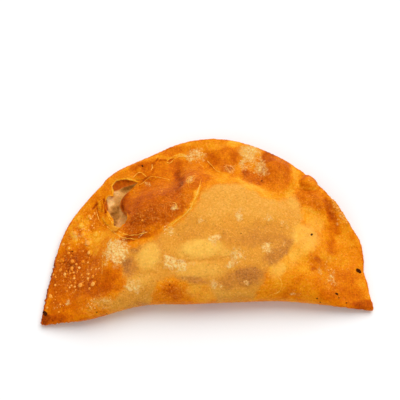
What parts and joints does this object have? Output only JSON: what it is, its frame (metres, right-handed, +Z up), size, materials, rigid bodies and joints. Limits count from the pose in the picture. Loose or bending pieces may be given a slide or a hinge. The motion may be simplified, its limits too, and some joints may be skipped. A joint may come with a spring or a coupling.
{
  "type": "fried beef empanada",
  "caption": "Large half-moon turnover of fried dough, folded along its front and sealed round its curved edge, with blisters and a torn bubble.",
  "frame": {"origin": "on the table, under the middle of the turnover's length and depth", "axes": "+X along the fold from the left tip to the right tip, +Y from the fold to the crown of the sealed edge, +Z up through the filling"},
  "size_m": [0.1578, 0.0908, 0.0218],
  "materials": {
    "fried_dough": "blistered golden-brown fried dough with a thin sheen of oil"
  },
  "bodies": {
    "root": {"empanada": "fried_dough"}
  },
  "joints": []
}
